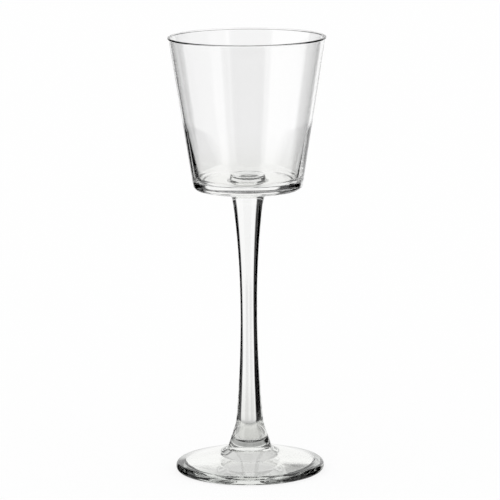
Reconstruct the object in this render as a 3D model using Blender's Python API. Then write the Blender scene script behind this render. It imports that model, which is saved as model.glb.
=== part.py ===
"""A clear glass goblet: a tapered bowl, a waisted stem and a round foot.

The three pieces are gathers of glass that are fused end to end, so each one ends in a flat
face that meets the next. Metres, +Z up. The origin is the centre of the foot's resting ring.
"""

import math

import bpy
from mathutils import Matrix, Vector

# Foot: a low cone with a rounded edge
FOOT_RADIUS = 0.0380
FOOT_EDGE_THICKNESS = 0.0040
FOOT_TOP_ROUNDING = 0.0021
FOOT_BOTTOM_ROUNDING = 0.0019
FOOT_SLOPE = math.radians(15.6)
FOOT_HEIGHT = 0.0226

# Bell: what the stem's lower end spreads into on the foot; its lower edge leans out a little
BELL_RADIUS = 0.01125
BELL_EDGE_HEIGHT = 0.0007
BELL_EDGE_LEAN = 0.0012
BELL_ROUNDING = 0.0018
BELL_FILLET = 0.0015

# Foot's underside: a flat resting ring, then a shallow hollow, then a cone pushed up at its middle
RESTING_RING_WIDTH = 0.0043
HOLLOW_RISE = 0.0036
CONE_RADIUS = 0.0138
CONE_EDGE_ROUNDING = 0.0046
CONE_RISE = 0.0099
CONE_TIP_RADIUS = 0.0066
CONE_TIP_ROUNDING = 0.0110

# Stem: a solid rod that is thinnest a little below its middle
STEM_LENGTH = 0.1231
STEM_FOOT_RADIUS = 0.00705
STEM_WAIST_RADIUS = 0.0043
STEM_WAIST_HEIGHT = 0.0574
STEM_TOP_RADIUS = 0.00867
STEM_FOOT_SWELL = 1.75
STEM_TOP_SWELL = 2.2

# Collars: the stem's last spread where it joins the foot and the bowl
FOOT_COLLAR_SPREAD = 0.0006
FOOT_COLLAR_FADE = 0.0022
BOWL_COLLAR_SPREAD = 0.0021
BOWL_COLLAR_FADE = 0.0024

# Bowl: a straight taper with a thin wall above a heavy heel and floor
BOWL_HEIGHT = 0.0779
BOWL_RIM_RADIUS = 0.0398
BOWL_BASE_RADIUS = 0.0276
BOWL_RIM_WALL = 0.0009
BOWL_HEEL_WALL = 0.0013
BOWL_FLOOR_THICKNESS = 0.0045
BOWL_FLOOR_RADIUS = 0.0250
HEEL_HEIGHT = 0.0336
HEEL_ROUNDING = 0.0570
BASE_EDGE_ROUNDING = 0.0027
FLOOR_EDGE_ROUNDING = 0.0041

# Bead: the thickened lip, which stands a little proud of the bowl's outside
BEAD_RADIUS = 0.0005
BEAD_PROUD = 0.0004
BEAD_OUTER_NECK_ROUNDING = 0.0004
BEAD_INNER_NECK_ROUNDING = 0.0013

# Button: the low round boss on the bowl's floor, over the stem
BUTTON_HEIGHT = 0.0024
BUTTON_TOP_RADIUS = 0.0088
BUTTON_BASE_RADIUS = 0.0092
BUTTON_TOP_ROUNDING = 0.0004
BUTTON_BASE_ROUNDING = 0.0003

# The pieces are drawn this far apart where they are fused
JOINT_GAP = 0.0003

# How finely the round shapes are divided
SEGMENTS = 64
STEM_RINGS = 24
ARC_STEP = math.radians(20)
MERGE_DISTANCE = 1e-6

GLASS_COLOUR = (0.93, 0.96, 0.94, 1.0)
GLASS_ROUGHNESS = 0.02
GLASS_REFRACTION = 1.52

# Share of a straight stretch that a corner's arc may take up
WHOLE_STRETCH = 0.999
HALF_STRETCH = 0.499


def clear_scene():
    for leftover in list(bpy.data.objects):
        bpy.data.objects.remove(leftover)


def clear_glass(name):
    material = bpy.data.materials.new(name)
    material.use_nodes = True
    shader = material.node_tree.nodes["Principled BSDF"]
    shader.inputs["Base Color"].default_value = GLASS_COLOUR
    shader.inputs["Roughness"].default_value = GLASS_ROUGHNESS
    shader.inputs["Metallic"].default_value = 0.0
    shader.inputs["IOR"].default_value = GLASS_REFRACTION
    shader.inputs["Transmission Weight"].default_value = 1.0
    return material


def rounded_corner(before, corner, after, rounding, share_before, share_after):
    """Points of the arc that rounds a corner, kept within the straight stretches beside it."""
    to_before = before - corner
    to_after = after - corner
    half_angle = to_before.angle(to_after) / 2
    longest_reach = min(to_before.length * share_before, to_after.length * share_after)
    reach = min(rounding / math.tan(half_angle), longest_reach)
    radius = reach * math.tan(half_angle)
    start = corner + to_before.normalized() * reach
    end = corner + to_after.normalized() * reach
    inward = (to_before.normalized() + to_after.normalized()).normalized()
    centre = corner + inward * radius / math.sin(half_angle)
    turn = -(start - centre).angle_signed(end - centre)
    steps = math.ceil(abs(turn) / ARC_STEP)
    return [
        centre + Matrix.Rotation(turn * step / steps, 2) @ (start - centre)
        for step in range(steps + 1)
    ]


def rounded_outline(corners):
    """A half outline of (radius, height) points from corners given as (radius, height, rounding).

    Two rounded neighbours share the stretch between them.
    """
    places = [Vector(corner[:2]) for corner in corners]
    outline = [places[0]]
    for index in range(1, len(corners) - 1):
        rounding = corners[index][2]
        if not rounding:
            outline.append(places[index])
            continue
        share_before = HALF_STRETCH if corners[index - 1][2] else WHOLE_STRETCH
        share_after = HALF_STRETCH if corners[index + 1][2] else WHOLE_STRETCH
        outline += rounded_corner(*places[index - 1:index + 2], rounding, share_before, share_after)
    outline.append(places[-1])
    return outline


def turned(name, outline, base_height):
    """A solid of revolution about Z, from a half outline that ends on the axis at both ends."""
    mesh = bpy.data.meshes.new(name)
    points = [(place.x, 0.0, place.y) for place in outline]
    edges = [(index, index + 1) for index in range(len(points) - 1)]
    mesh.from_pydata(points, edges, [])
    mesh.materials.append(clear_glass(name + "_glass"))
    piece = bpy.data.objects.new(name, mesh)
    bpy.context.collection.objects.link(piece)
    piece.location.z = base_height
    screw = piece.modifiers.new("Turn", "SCREW")
    screw.steps = SEGMENTS
    screw.render_steps = SEGMENTS
    screw.use_merge_vertices = True
    screw.merge_threshold = MERGE_DISTANCE
    screw.use_smooth_shade = True
    return piece


def make_foot():
    """A low cone under the stem's bell, with a rounded edge and a hollowed underside."""
    bell_edge_radius = BELL_RADIUS + BELL_EDGE_LEAN
    bell_edge = FOOT_EDGE_THICKNESS + (FOOT_RADIUS - bell_edge_radius) * math.tan(FOOT_SLOPE)
    ring_inner = FOOT_RADIUS - FOOT_BOTTOM_ROUNDING - RESTING_RING_WIDTH
    outline = rounded_outline([
        (0.0, FOOT_HEIGHT, 0),
        (stem_radius(0.0), FOOT_HEIGHT, 0),
        (BELL_RADIUS, bell_edge + BELL_EDGE_HEIGHT, BELL_ROUNDING),
        (bell_edge_radius, bell_edge, BELL_FILLET),
        (FOOT_RADIUS, FOOT_EDGE_THICKNESS, FOOT_TOP_ROUNDING),
        (FOOT_RADIUS, 0.0, FOOT_BOTTOM_ROUNDING),
        (ring_inner, 0.0, 0),
        (CONE_RADIUS, HOLLOW_RISE, CONE_EDGE_ROUNDING),
        (CONE_TIP_RADIUS, CONE_RISE, CONE_TIP_ROUNDING),
        (0.0, CONE_RISE, 0),
    ])
    return turned("foot", outline, 0.0)


def stem_radius(height):
    """The rod swells from its waist towards both ends, as a power of the way there, to a collar."""
    if height < STEM_WAIST_HEIGHT:
        way = 1 - height / STEM_WAIST_HEIGHT
        swell = (STEM_FOOT_RADIUS - STEM_WAIST_RADIUS) * way ** STEM_FOOT_SWELL
        collar = FOOT_COLLAR_SPREAD * math.exp(-height / FOOT_COLLAR_FADE)
    else:
        way = (height - STEM_WAIST_HEIGHT) / (STEM_LENGTH - STEM_WAIST_HEIGHT)
        swell = (STEM_TOP_RADIUS - STEM_WAIST_RADIUS) * way ** STEM_TOP_SWELL
        collar = BOWL_COLLAR_SPREAD * math.exp((height - STEM_LENGTH) / BOWL_COLLAR_FADE)
    return STEM_WAIST_RADIUS + swell + collar


def make_stem():
    """A turned rod. Its rings crowd towards both ends, as the collars curve the most."""
    ways = [math.cos(math.pi * ring / STEM_RINGS) for ring in range(STEM_RINGS + 1)]
    heights = [STEM_LENGTH * (1 + way) / 2 for way in ways]
    outline = [Vector((0.0, STEM_LENGTH))]
    outline += [Vector((stem_radius(height), height)) for height in heights]
    outline.append(Vector((0.0, 0.0)))
    return turned("stem", outline, FOOT_HEIGHT + JOINT_GAP)


def bowl_wall_radius(height):
    """Outer radius of the bowl's straight taper at a height above its base."""
    return BOWL_BASE_RADIUS + (BOWL_RIM_RADIUS - BOWL_BASE_RADIUS) * height / BOWL_HEIGHT


def make_bowl():
    """A tapered cup. Its inside narrows faster below the heel, which leaves a heavy base."""
    button_top = BOWL_FLOOR_THICKNESS + BUTTON_HEIGHT
    bead_height = BOWL_HEIGHT - 2 * BEAD_RADIUS
    bead_outer = BOWL_RIM_RADIUS + BEAD_PROUD
    bead_inner = bead_outer - 2 * BEAD_RADIUS
    outline = rounded_outline([
        (0.0, button_top, 0),
        (BUTTON_TOP_RADIUS, button_top, BUTTON_TOP_ROUNDING),
        (BUTTON_BASE_RADIUS, BOWL_FLOOR_THICKNESS, BUTTON_BASE_ROUNDING),
        (BOWL_FLOOR_RADIUS, BOWL_FLOOR_THICKNESS, FLOOR_EDGE_ROUNDING),
        (bowl_wall_radius(HEEL_HEIGHT) - BOWL_HEEL_WALL, HEEL_HEIGHT, HEEL_ROUNDING),
        (bowl_wall_radius(bead_height) - BOWL_RIM_WALL, bead_height, BEAD_INNER_NECK_ROUNDING),
        (bead_inner, BOWL_HEIGHT, BEAD_RADIUS),
        (bead_outer, BOWL_HEIGHT, BEAD_RADIUS),
        (bead_outer, bead_height, BEAD_RADIUS),
        (bowl_wall_radius(bead_height), bead_height, BEAD_OUTER_NECK_ROUNDING),
        (BOWL_BASE_RADIUS, 0.0, BASE_EDGE_ROUNDING),
        (0.0, 0.0, 0),
    ])
    return turned("bowl", outline, FOOT_HEIGHT + JOINT_GAP + STEM_LENGTH + JOINT_GAP)


clear_scene()
make_foot()
make_stem()
make_bowl()
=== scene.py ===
import math

import bmesh
import bpy
from mathutils import Matrix, Vector


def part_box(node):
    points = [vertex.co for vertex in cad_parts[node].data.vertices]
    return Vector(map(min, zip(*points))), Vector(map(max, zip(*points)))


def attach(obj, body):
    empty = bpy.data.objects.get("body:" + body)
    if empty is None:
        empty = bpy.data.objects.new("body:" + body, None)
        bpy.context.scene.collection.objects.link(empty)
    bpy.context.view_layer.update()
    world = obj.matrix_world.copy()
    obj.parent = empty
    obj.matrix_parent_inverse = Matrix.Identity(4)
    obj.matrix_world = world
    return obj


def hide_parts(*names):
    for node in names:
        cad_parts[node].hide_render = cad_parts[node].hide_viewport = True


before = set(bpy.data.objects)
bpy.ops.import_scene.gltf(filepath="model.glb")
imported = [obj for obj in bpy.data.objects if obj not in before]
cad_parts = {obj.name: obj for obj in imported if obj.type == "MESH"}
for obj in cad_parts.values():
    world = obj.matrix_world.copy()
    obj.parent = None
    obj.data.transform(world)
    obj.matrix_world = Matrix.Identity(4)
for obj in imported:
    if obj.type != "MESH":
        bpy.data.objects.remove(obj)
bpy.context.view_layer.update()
mm = 0.001
print("frame loaded:", sorted(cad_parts))


# Shader wires

class Wire:
    # wraps one socket of a node tree, and arithmetic on it adds Math nodes
    def __init__(self, tree, socket=None):
        self.tree = tree
        self.socket = socket

    def node(self, kind, settings=None, sockets=None, output=0):
        # settings come first, because some of them change which sockets are there
        made = self.tree.nodes.new(kind)
        for name, value in (settings or {}).items():
            setattr(made, name, value)
        for name, value in (sockets or {}).items():
            if isinstance(value, Wire):
                self.tree.links.new(value.socket, made.inputs[name])
            else:
                made.inputs[name].default_value = value
        return Wire(self.tree, made.outputs[output] if made.outputs else None)

    def mixed(self, factor, first, second):
        # a Mix node takes its colours at inputs 6 and 7, and gives their mix at output 2
        return self.node("ShaderNodeMix", {"data_type": "RGBA"}, {0: factor, 6: first, 7: second}, 2)

    def scaled(self, vector, factors):
        return self.node("ShaderNodeVectorMath", {"operation": "MULTIPLY"}, {0: vector, 1: factors})

    def maths(self, operation, first, second):
        return self.node("ShaderNodeMath", {"operation": operation}, {0: first, 1: second})

    def __sub__(self, other):
        return self.maths("SUBTRACT", self, other)

    def __rsub__(self, other):
        return self.maths("SUBTRACT", other, self)

    def __mul__(self, other):
        return self.maths("MULTIPLY", self, other)

    def __rmul__(self, other):
        return self.maths("MULTIPLY", other, self)


def newMaterial(name):
    material = bpy.data.materials.new(name)
    material.use_nodes = True
    material.node_tree.nodes.clear()
    return material, Wire(material.node_tree)


# Glass finishes

glass = {
    "refraction": 1.52,
    "hazeScale": 45.0,       # soft patches where the glass was wiped
    "hazeFrom": 0.52,
    "hazeTo": 0.80,
    "hazeRoughness": 0.012,
    "rippleDetail": 2.0,
}


def clearGlass(name, finish):
    # deepens to a greener tint by height or by radius, with slow ripples and a faint haze
    material, wire = newMaterial(name)
    place = wire.node("ShaderNodeTexCoord", output="Object")
    along = wire.scaled(place, finish["deepAlong"])
    way = wire.node("ShaderNodeVectorMath", {"operation": "LENGTH"}, {0: along}, "Value")
    deep = wire.node("ShaderNodeMapRange", {"interpolation_type": "SMOOTHSTEP"}, {
        "Value": way,
        "From Min": finish["deepFrom"],
        "From Max": finish["deepTo"],
    })
    tint = wire.mixed(deep, finish["tint"], finish["deepTint"])
    ripple = wire.node("ShaderNodeTexNoise", {}, {
        "Vector": wire.scaled(place, finish["rippleScale"]),
        "Scale": 1.0,
        "Detail": glass["rippleDetail"],
    })
    bump = wire.node("ShaderNodeBump", {}, {
        "Height": ripple,
        "Distance": finish["rippleHeight"],
        "Strength": 1.0,
    })
    cloud = wire.node("ShaderNodeTexNoise", {}, {"Vector": place, "Scale": glass["hazeScale"]})
    haze = wire.node("ShaderNodeMapRange", {}, {
        "Value": cloud,
        "From Min": glass["hazeFrom"],
        "From Max": glass["hazeTo"],
        "To Max": glass["hazeRoughness"],
    })
    shader = wire.node("ShaderNodeBsdfPrincipled", {}, {
        "Base Color": tint,
        "Roughness": haze,
        "IOR": glass["refraction"],
        "Transmission Weight": 1.0,
        "Normal": bump,
    })
    wire.node("ShaderNodeOutputMaterial", {}, {"Surface": shader})
    return material


def fusedGlass(name):
    # the glass is continuous across a fused joint, so nothing bends or shines there
    material, wire = newMaterial(name)
    shader = wire.node("ShaderNodeBsdfTransparent")
    wire.node("ShaderNodeOutputMaterial", {}, {"Surface": shader})
    return material


fusedJoint = fusedGlass("fusedJoint")


# Turned shapes

turning = {
    "segments": 256,
    "arcStep": math.radians(3),
    "leastArcSteps": 2,
    "longestStep": 1.2 * mm,
    "wholeStretch": 0.999,   # share of a straight stretch that a corner's arc may take up
    "halfStretch": 0.499,
    "hair": 1e-7,            # lengths below this count as nothing
}


def cornerArc(before, corner, after, rounding, shareBefore, shareAfter):
    # points of the arc that rounds a corner, kept within the straight stretches beside it
    toBefore = before - corner
    toAfter = after - corner
    halfAngle = toBefore.angle(toAfter) / 2
    longestReach = min(toBefore.length * shareBefore, toAfter.length * shareAfter)
    reach = min(rounding / math.tan(halfAngle), longestReach)
    radius = reach * math.tan(halfAngle)
    start = corner + toBefore.normalized() * reach
    end = corner + toAfter.normalized() * reach
    inward = (toBefore.normalized() + toAfter.normalized()).normalized()
    centre = corner + inward * radius / math.sin(halfAngle)
    spoke = start - centre
    turn = -spoke.angle_signed(end - centre)
    steps = max(turning["leastArcSteps"], math.ceil(abs(turn) / turning["arcStep"]))
    return [centre + Matrix.Rotation(turn * step / steps, 2) @ spoke for step in range(steps + 1)]


def evenSteps(profile):
    # splits long straight stretches, so that the smooth shading next to a curve stays near it
    stepped = [profile[0]]
    for start, end in zip(profile, profile[1:]):
        parts = max(1, math.ceil((end - start).length / turning["longestStep"]))
        stepped += [start.lerp(end, part / parts) for part in range(1, parts + 1)]
    return stepped


def roundedProfile(corners):
    # corners are (radius, height, rounding); two rounded neighbours share the stretch between them
    places = [Vector(corner[:2]) for corner in corners]
    shares = [turning["halfStretch"] if corner[2] else turning["wholeStretch"] for corner in corners]
    profile = [places[0]]
    for index in range(1, len(corners) - 1):
        if corners[index][2]:
            around = places[index - 1:index + 2]
            profile += cornerArc(*around, corners[index][2], shares[index - 1], shares[index + 1])
        else:
            profile.append(places[index])
    profile.append(places[-1])
    return evenSteps(profile)


def ringOf(mesh, radius, height):
    # a ring of points round Z, or the same point all round where it meets the axis
    segments = turning["segments"]
    if radius < turning["hair"]:
        return [mesh.verts.new((0.0, 0.0, height))] * segments
    ring = []
    for step in range(segments):
        turn = math.tau * step / segments
        ring.append(mesh.verts.new((radius * math.cos(turn), radius * math.sin(turn), height)))
    return ring


def bandBetween(mesh, upper, lower):
    # a face that meets the axis has the same point twice, so it loses one corner there
    faces = []
    for step in range(len(upper)):
        following = (step + 1) % len(upper)
        loop = [upper[step], lower[step], lower[following], upper[following]]
        corners = [vert for index, vert in enumerate(loop) if vert not in loop[:index]]
        faces.append(mesh.faces.new(corners))
    return faces


def placeMesh(name, mesh, materials):
    data = bpy.data.meshes.new(name)
    mesh.to_mesh(data)
    mesh.free()
    for material in materials:
        data.materials.append(material)
    made = bpy.data.objects.new(name, data)
    bpy.context.scene.collection.objects.link(made)
    return made


def isFused(above, below, joints):
    # whether the band between two points of a profile lies in a flat fused face
    hair = turning["hair"]
    for radius, height in joints:
        level = max(abs(above.y - height), abs(below.y - height)) < hair
        if level and max(above.x, below.x) < radius + hair:
            return True
    return False


def turnedPiece(name, profile, finish, joints):
    # a closed solid of revolution about Z; joints are the (radius, height) of its flat fused faces
    mesh = bmesh.new()
    rings = [ringOf(mesh, place.x, place.y) for place in profile]
    for index in range(len(rings) - 1):
        fused = isFused(profile[index], profile[index + 1], joints)
        for face in bandBetween(mesh, rings[index], rings[index + 1]):
            face.smooth = not fused
            face.material_index = int(fused)
    for edge in mesh.edges:
        edge.smooth = len({face.material_index for face in edge.link_faces}) == 1
    piece = placeMesh(name, mesh, [clearGlass(name + "_glass", finish), fusedJoint])
    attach(piece, "root")
    return piece


footLow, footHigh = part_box("foot")
stemLow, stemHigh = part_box("stem")
bowlLow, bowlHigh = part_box("bowl")
footJoint = (footHigh.z + stemLow.z) / 2
bowlJoint = (stemHigh.z + bowlLow.z) / 2
seam = 0.005 * mm            # half the gap that is left between two fused faces


# Stem

stem = {
    "footRadius": 7.05 * mm,
    "waistRadius": 4.3 * mm,
    "waistHeight": 57.4 * mm,
    "topRadius": 8.67 * mm,
    "footSwell": 1.75,
    "topSwell": 2.2,
    "footCollar": 0.6 * mm,      # the rod spreads a little where it is fused
    "footCollarFade": 2.2 * mm,
    "bowlCollar": 2.1 * mm,
    "bowlCollarFade": 2.4 * mm,
    "rings": 200,
    "finish": {
        "tint": (0.985, 0.986, 0.980, 1),
        "deepTint": (0.960, 0.965, 0.945, 1),
        "deepAlong": (0, 0, 1),      # by height
        "deepFrom": 60 * mm,
        "deepTo": 30 * mm,
        "rippleScale": (60, 60, 8),
        "rippleHeight": 0.02 * mm,
    },
}


def stemRadius(height):
    # the rod swells from its waist towards both ends, and spreads once more at each joint
    length = bowlJoint - footJoint
    if height < stem["waistHeight"]:
        way = 1 - height / stem["waistHeight"]
        swell = (stem["footRadius"] - stem["waistRadius"]) * way ** stem["footSwell"]
        collar = stem["footCollar"] * math.exp(-height / stem["footCollarFade"])
    else:
        way = (height - stem["waistHeight"]) / (length - stem["waistHeight"])
        swell = (stem["topRadius"] - stem["waistRadius"]) * way ** stem["topSwell"]
        collar = stem["bowlCollar"] * math.exp((height - length) / stem["bowlCollarFade"])
    return stem["waistRadius"] + swell + collar


footNeck = stemRadius(0)
bowlNeck = stemRadius(bowlJoint - footJoint)


def makeStem():
    low = footJoint + seam
    high = bowlJoint - seam
    heights = [high + (low - high) * ring / stem["rings"] for ring in range(stem["rings"] + 1)]
    profile = [Vector((0.0, high))]
    profile += [Vector((stemRadius(height - footJoint), height)) for height in heights]
    profile.append(Vector((0.0, low)))
    piece = turnedPiece("goblet_stem", profile, stem["finish"], [(footNeck, low), (bowlNeck, high)])
    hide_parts("stem")


# Foot

foot = {
    "edgeThickness": 4.0 * mm,
    "topRounding": 2.1 * mm,
    "bottomRounding": 1.9 * mm,
    "slope": math.radians(15.6),
    "bellRadius": 11.25 * mm,    # the stem's lower end spreads into a bell on the foot
    "bellEdgeHeight": 0.7 * mm,
    "bellEdgeLean": 1.2 * mm,
    "bellRounding": 1.8 * mm,
    "bellFillet": 1.5 * mm,
    "ringWidth": 4.3 * mm,       # what the goblet stands on
    "hollowRise": 3.6 * mm,      # the underside is a shallow hollow
    "coneRadius": 13.8 * mm,     # with a cone pushed up at its middle
    "coneEdge": 4.6 * mm,
    "coneRise": 9.9 * mm,
    "coneTip": 6.6 * mm,
    "coneTipRounding": 11.0 * mm,
    "finish": {
        "tint": (0.935, 0.940, 0.917, 1),
        "deepTint": (0.770, 0.790, 0.760, 1),
        "deepAlong": (1, 1, 0),      # by radius
        "deepFrom": 33.4 * mm,
        "deepTo": 34.1 * mm,
        "rippleScale": (60, 60, 60),
        "rippleHeight": 0.02 * mm,
    },
}


def makeFoot():
    footRadius = footHigh.x
    top = footJoint - seam
    bellEdgeRadius = foot["bellRadius"] + foot["bellEdgeLean"]
    bellEdge = foot["edgeThickness"] + (footRadius - bellEdgeRadius) * math.tan(foot["slope"])
    ringInner = footRadius - foot["bottomRounding"] - foot["ringWidth"]
    profile = roundedProfile([
        (0.0, top, 0),
        (footNeck, top, 0),
        (foot["bellRadius"], bellEdge + foot["bellEdgeHeight"], foot["bellRounding"]),
        (bellEdgeRadius, bellEdge, foot["bellFillet"]),
        (footRadius, foot["edgeThickness"], foot["topRounding"]),
        (footRadius, 0.0, foot["bottomRounding"]),
        (ringInner, 0.0, 0),
        (foot["coneRadius"], foot["hollowRise"], foot["coneEdge"]),
        (foot["coneTip"], foot["coneRise"], foot["coneTipRounding"]),
        (0.0, foot["coneRise"], 0),
    ])
    piece = turnedPiece("goblet_foot", profile, foot["finish"], [(footNeck, top)])
    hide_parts("foot")


# Bowl

bowl = {
    "rimRadius": 39.8 * mm,
    "baseRadius": 27.6 * mm,
    "rimWall": 0.9 * mm,
    "heelWall": 1.3 * mm,
    "floorThickness": 4.5 * mm,
    "floorRadius": 25.0 * mm,
    "heelHeight": 33.6 * mm,
    "heelRounding": 57.0 * mm,
    "baseEdge": 2.7 * mm,
    "floorEdge": 4.1 * mm,
    "bead": 0.5 * mm,
    "beadOuterNeck": 0.4 * mm,
    "beadInnerNeck": 1.3 * mm,
    "buttonHeight": 2.4 * mm,    # the raised round over the stem
    "buttonTopRadius": 8.8 * mm,
    "buttonBaseRadius": 9.2 * mm,
    "buttonTopRounding": 0.4 * mm,
    "buttonBaseRounding": 0.3 * mm,
    "finish": {
        "tint": (0.995, 0.995, 0.995, 1),
        "deepTint": (0.950, 0.952, 0.940, 1),
        "deepAlong": (0, 0, 1),      # by height
        "deepFrom": 172 * mm,
        "deepTo": 150 * mm,
        "rippleScale": (60, 60, 8),
        "rippleHeight": 0.02 * mm,
    },
}


def makeBowl():
    base = bowlJoint + seam
    height = bowlHigh.z - base

    def wallRadius(up):
        return bowl["baseRadius"] + (bowl["rimRadius"] - bowl["baseRadius"]) * up / height

    beadLow = height - 2 * bowl["bead"]
    beadOuter = bowlHigh.x
    beadInner = beadOuter - 2 * bowl["bead"]
    floor = bowl["floorThickness"]
    corners = [
        (0.0, floor + bowl["buttonHeight"], 0),
        (bowl["buttonTopRadius"], floor + bowl["buttonHeight"], bowl["buttonTopRounding"]),
        (bowl["buttonBaseRadius"], floor, bowl["buttonBaseRounding"]),
        (bowl["floorRadius"], floor, bowl["floorEdge"]),
        (wallRadius(bowl["heelHeight"]) - bowl["heelWall"], bowl["heelHeight"], bowl["heelRounding"]),
        (wallRadius(beadLow) - bowl["rimWall"], beadLow, bowl["beadInnerNeck"]),
        (beadInner, height, bowl["bead"]),
        (beadOuter, height, bowl["bead"]),
        (beadOuter, beadLow, bowl["bead"]),
        (wallRadius(beadLow), beadLow, bowl["beadOuterNeck"]),
        (bowl["baseRadius"], 0.0, bowl["baseEdge"]),
        (bowlNeck, 0.0, 0),
        (0.0, 0.0, 0),
    ]
    profile = [Vector((place.x, place.y + base)) for place in roundedProfile(corners)]
    piece = turnedPiece("goblet_bowl", profile, bowl["finish"], [(bowlNeck, base)])
    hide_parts("bowl")


makeBowl()
makeStem()
makeFoot()
print("glass turned")


# Camera

camera = {
    "distance": 1.7472,
    "down": math.radians(10.145),    # looks down at the goblet
    "aimHeight": 114.55 * mm,
    "aside": 0.8 * mm,               # stands a little to the right
    "roll": math.radians(0.44),
    "lens": 246.3,
    "sensor": 36,
}


def makeCamera():
    data = bpy.data.cameras.new("camera")
    data.lens = camera["lens"]
    data.sensor_width = camera["sensor"]
    made = bpy.data.objects.new("camera", data)
    bpy.context.scene.collection.objects.link(made)
    back = Vector((0, -math.cos(camera["down"]), math.sin(camera["down"])))
    made.location = Vector((camera["aside"], 0, camera["aimHeight"])) + back * camera["distance"]
    facing = (-back).to_track_quat("-Z", "Y").to_matrix()
    made.rotation_euler = (facing @ Matrix.Rotation(-camera["roll"], 3, "Z")).to_euler()
    bpy.context.scene.camera = made
    return made


sceneCamera = makeCamera()
bpy.context.view_layer.update()
print("camera placed")


# Studio

studio = {
    "white": (1, 1, 1, 1),
    "black": (0, 0, 0, 1),
    "paper": (0.97, 0.97, 0.97, 1),
    "floorReach": 6.0,
    "floorDrop": 0.1 * mm,
    "floorShade": 0.18,      # how much of the floor's white takes the shadow
    "tableDrop": 0.05 * mm,
    "flagDistance": 1.2,
    "flagCentre": 0.1,       # height that the flags stand round
    "flagStep": 5.0,         # degrees between a flag's points
    "bounces": 24,           # light passes many walls of glass
    "glossyBounces": 12,
    "clearBounces": 16,      # through fused joints and flags
}

# dark flags round the goblet, in degrees round from the camera and up from level
# each fades out over its edge, and the glass shows them as its dark lines and greys
flags = {
    "front": {"round": (-42, 30), "up": (-62, 88), "edge": 6, "shade": 1.0},
    "left": {"round": (-158, -110), "up": (-24, 58), "edge": 4, "shade": 1.0},
    "leftLow": {"round": (-160, -118), "up": (-36, -14), "edge": 4, "shade": 1.0},
    "leftTop": {"round": (-90, -42), "up": (20, 62), "edge": 6, "shade": 0.6},
    "right": {"round": (96, 144), "up": (-24, 45), "edge": 4, "shade": 1.0},
    "rightNear": {"round": (60, 100), "up": (-15, 20), "edge": 5, "shade": 0.9},
    "rightLow": {"round": (112, 148), "up": (-36, -14), "edge": 4, "shade": 1.0},
    "rightTop": {"round": (30, 75), "up": (10, 62), "edge": 6, "shade": 0.6},
    "backLeft": {"round": (-177, -163), "up": (-30, -8), "edge": 2, "shade": 0.12},
    "backRight": {"round": (163, 177), "up": (-30, -8), "edge": 2, "shade": 0.12},
}

# how dark the glass shows the table, by the distance from the goblet's axis: partly a grey table,
# partly painted shadow of the goblet under and round its foot
tableShadowRings = [
    {"reach": 18 * mm, "shade": 0.32},
    {"reach": 30 * mm, "shade": 0.2},
    {"reach": 39 * mm, "shade": 0.6},
    {"reach": 60 * mm, "shade": 0.2},
    {"reach": 90 * mm, "shade": 0.1},
    {"reach": 160 * mm, "shade": 0.0},
]


def flagMaterial(name, shade):
    # lets light through at its faded edges
    material, wire = newMaterial(name)
    cover = wire.node("ShaderNodeAttribute", {"attribute_name": "cover"}, output="Fac")
    dark = wire.node("ShaderNodeBsdfTransparent", {}, {"Color": studio["black"]})
    clear = wire.node("ShaderNodeBsdfTransparent", {}, {"Color": studio["white"]})
    shader = wire.node("ShaderNodeMixShader", {}, {0: 1 - cover * shade, 1: dark, 2: clear})
    wire.node("ShaderNodeOutputMaterial", {}, {"Surface": shader})
    return material


def placeFlag(name, mesh, shade):
    # only the glass shows a flag
    made = placeMesh("flag_" + name, mesh, [flagMaterial("flag_" + name, shade)])
    made.visible_camera = False
    made.visible_diffuse = False
    made.visible_shadow = False
    return made


def flagSteps(span, edge):
    # both ends of a flag's span, and even steps across what lies inside its faded edges
    start = span[0] + edge
    width = span[1] - edge - start
    parts = max(1, math.ceil(width / studio["flagStep"]))
    inside = [start + width * part / parts for part in range(parts + 1)]
    return [span[0], *inside, span[1]]


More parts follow.
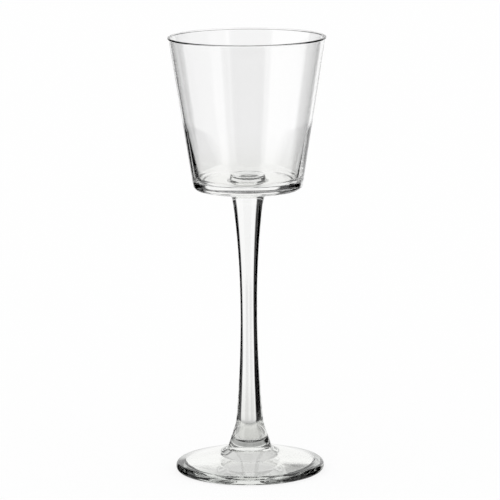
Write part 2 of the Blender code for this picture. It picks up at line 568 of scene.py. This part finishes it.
def makeFlag(name, flag):
    # a patch of a sphere round the goblet, which turns with the camera
    mesh = bmesh.new()
    cover = mesh.verts.layers.float.new("cover")
    grid = []
    for turn in flagSteps(flag["round"], flag["edge"]):
        column = []
        for lift in flagSteps(flag["up"], flag["edge"]):
            around = math.radians(turn)
            above = math.radians(lift)
            reach = studio["flagDistance"] * math.cos(above)
            height = studio["flagCentre"] + studio["flagDistance"] * math.sin(above)
            vert = mesh.verts.new((reach * math.sin(around), -reach * math.cos(around), height))
            vert[cover] = float(turn not in flag["round"] and lift not in flag["up"])
            column.append(vert)
        grid.append(column)
    for near, far in zip(grid, grid[1:]):
        for row in range(len(near) - 1):
            mesh.faces.new([near[row], far[row], far[row + 1], near[row + 1]])
    made = placeFlag(name, mesh, flag["shade"])
    made.parent = sceneCamera
    made.matrix_parent_inverse = sceneCamera.matrix_world.inverted()


def makeShadowedTable():
    # a graded disc under the foot, seen only in the glass: a grey table with painted shadow under and
    # round the foot
    mesh = bmesh.new()
    cover = mesh.verts.layers.float.new("cover")
    rings = []
    for ring in tableShadowRings:
        rings.append(ringOf(mesh, ring["reach"], footLow.z - studio["tableDrop"]))
        for vert in rings[-1]:
            vert[cover] = ring["shade"]
    mesh.faces.new(rings[0])
    for near, far in zip(rings, rings[1:]):
        bandBetween(mesh, near, far)
    placeFlag("table", mesh, shade=1.0)


def floorMaterial():
    material, wire = newMaterial("floorPaper")
    white = wire.node("ShaderNodeEmission", {}, {"Color": studio["white"], "Strength": 1.0})
    paper = wire.node("ShaderNodeBsdfDiffuse", {}, {"Color": studio["paper"]})
    shader = wire.node("ShaderNodeMixShader", {}, {0: studio["floorShade"], 1: white, 2: paper})
    wire.node("ShaderNodeOutputMaterial", {}, {"Surface": shader})
    return material


def makeFloor():
    mesh = bmesh.new()
    mesh.faces.new(ringOf(mesh, studio["floorReach"], footLow.z - studio["floorDrop"]))
    made = placeMesh("studio_floor", mesh, [floorMaterial()])
    made.visible_glossy = False
    made.visible_transmission = False


def makeWorld():
    world = bpy.data.worlds.new("studio")
    bpy.context.scene.world = world
    world.use_nodes = True
    world.node_tree.nodes.clear()
    wire = Wire(world.node_tree)
    white = wire.node("ShaderNodeBackground", {}, {"Color": studio["white"], "Strength": 1.0})
    wire.node("ShaderNodeOutputWorld", {}, {"Surface": white})


def setRender():
    scene = bpy.context.scene
    scene.view_settings.view_transform = "Standard"
    scene.cycles.max_bounces = studio["bounces"]
    scene.cycles.transmission_bounces = studio["bounces"]
    scene.cycles.glossy_bounces = studio["glossyBounces"]
    scene.cycles.transparent_max_bounces = studio["clearBounces"]


makeFloor()
makeShadowedTable()
makeWorld()
for name, flag in flags.items():
    makeFlag(name, flag)
setRender()
print("studio set")
